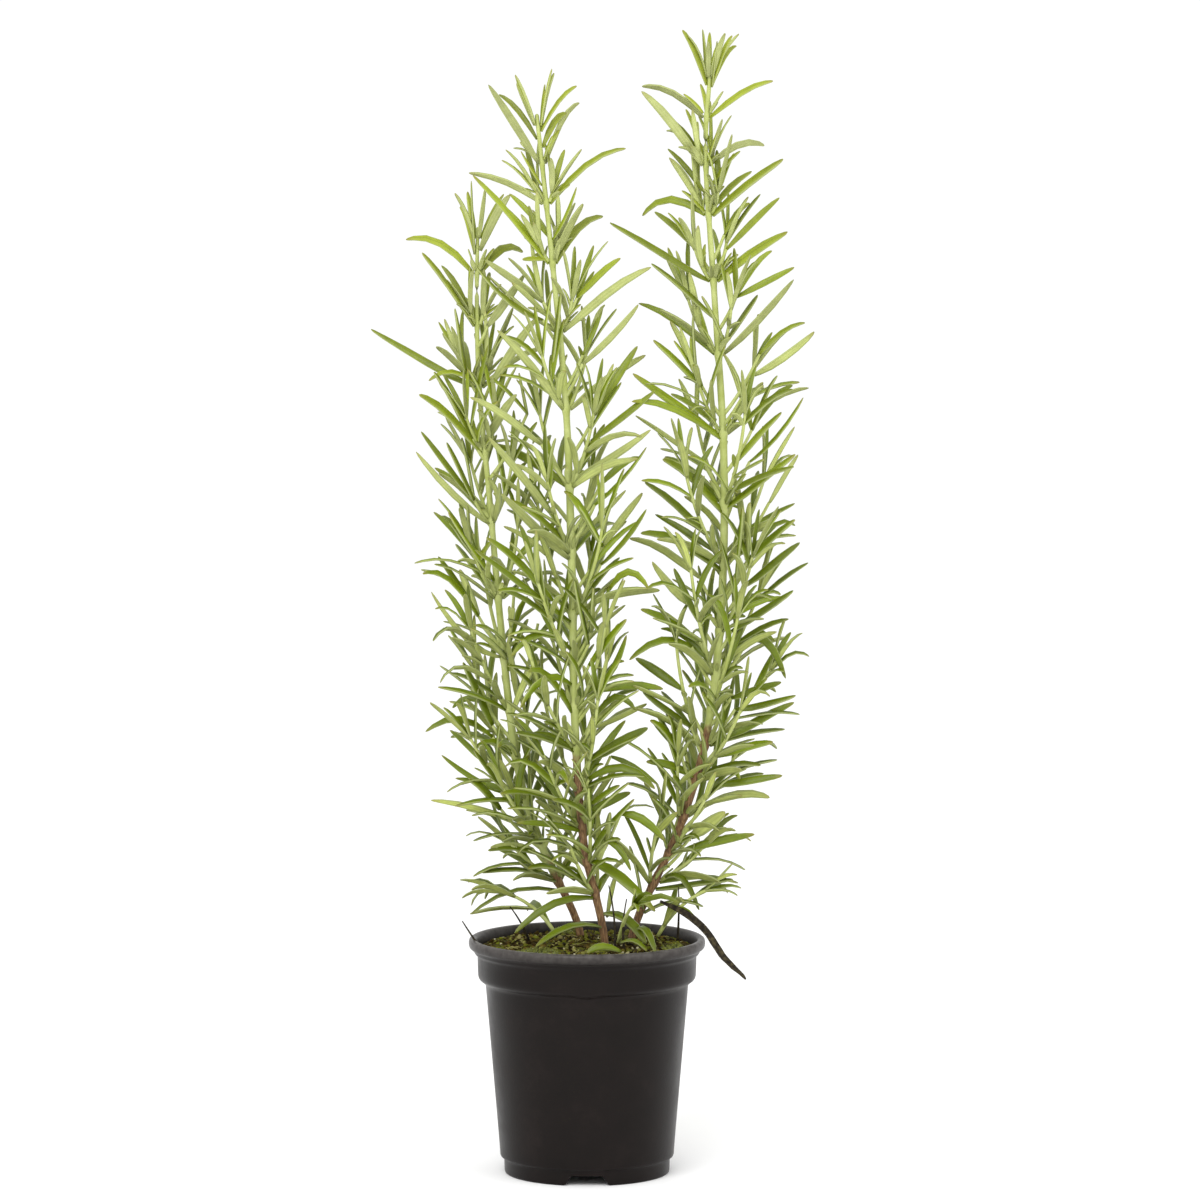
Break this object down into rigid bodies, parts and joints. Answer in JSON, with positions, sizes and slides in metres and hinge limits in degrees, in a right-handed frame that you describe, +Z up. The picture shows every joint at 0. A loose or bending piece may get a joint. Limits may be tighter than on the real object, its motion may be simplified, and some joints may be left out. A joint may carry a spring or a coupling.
{
  "type": "potted rosemary plant",
  "caption": "Upright rosemary with leafy stems of narrow green leaves, growing in peat in a tapered round black nursery pot with a rolled rim.",
  "frame": {"origin": "middle of the pot's foot, on the surface the pot stands on", "axes": "+Z up along the pot's axis and the stems; the pictured front faces -Y and +X is to the viewer's right"},
  "size_m": [0.2199, 0.12, 0.5788],
  "materials": {
    "black_polypropylene": "matte moulded black polypropylene with a soft sheen",
    "peat_potting_mix": "moist dark peat with a thin green and whitish crust",
    "moss": "low olive green moss",
    "rosemary_stem": "yellow-green young stem, brown bark near the soil",
    "rosemary_leaf": "leathery green upper side, pale felted underside",
    "withered_leaf": "dry, dark and dull"
  },
  "bodies": {
    "root": {"pot": "black_polypropylene", "potting_soil": "peat_potting_mix", "right_stem": "rosemary_stem", "right_tip_leaves": "rosemary_leaf", "right_tier_01": "rosemary_leaf", "right_tier_02": "rosemary_leaf", "right_tier_03": "rosemary_leaf", "right_tier_04": "rosemary_leaf", "right_tier_05": "rosemary_leaf", "right_tier_06": "rosemary_leaf", "right_tier_07": "rosemary_leaf", "right_tier_08": "rosemary_leaf", "right_tier_09": "rosemary_leaf", "right_tier_10": "rosemary_leaf", "right_tier_11": "rosemary_leaf", "right_tier_12": "rosemary_leaf", "right_tier_13": "rosemary_leaf", "right_tier_14": "rosemary_leaf", "right_tier_15": "rosemary_leaf", "right_tier_16": "rosemary_leaf", "middle_stem": "rosemary_stem", "middle_tip_leaves": "rosemary_leaf", "middle_tier_01": "rosemary_leaf", "middle_tier_02": "rosemary_leaf", "middle_tier_03": "rosemary_leaf", "middle_tier_04": "rosemary_leaf", "middle_tier_05": "rosemary_leaf", "middle_tier_06": "rosemary_leaf", "middle_tier_07": "rosemary_leaf", "middle_tier_08": "rosemary_leaf", "middle_tier_09": "rosemary_leaf", "middle_tier_10": "rosemary_leaf", "middle_tier_11": "rosemary_leaf", "middle_tier_12": "rosemary_leaf", "middle_tier_13": "rosemary_leaf", "middle_tier_14": "rosemary_leaf", "middle_tier_15": "rosemary_leaf", "left_stem": "rosemary_stem", "left_tip_leaves": "rosemary_leaf", "left_tier_01": "rosemary_leaf", "left_tier_02": "rosemary_leaf", "left_tier_03": "rosemary_leaf", "left_tier_04": "rosemary_leaf", "left_tier_05": "rosemary_leaf", "left_tier_06": "rosemary_leaf", "left_tier_07": "rosemary_leaf", "left_tier_08": "rosemary_leaf", "left_tier_09": "rosemary_leaf", "left_tier_10": "rosemary_leaf", "left_tier_11": "rosemary_leaf", "left_tier_12": "rosemary_leaf", "front_young_shoot": "rosemary_leaf", "right_young_shoot": "rosemary_leaf", "left_young_shoot": "rosemary_leaf", "moss_front_left": "moss", "moss_right": "moss", "moss_back": "moss", "withered_leaf": "withered_leaf"}
  },
  "joints": []
}
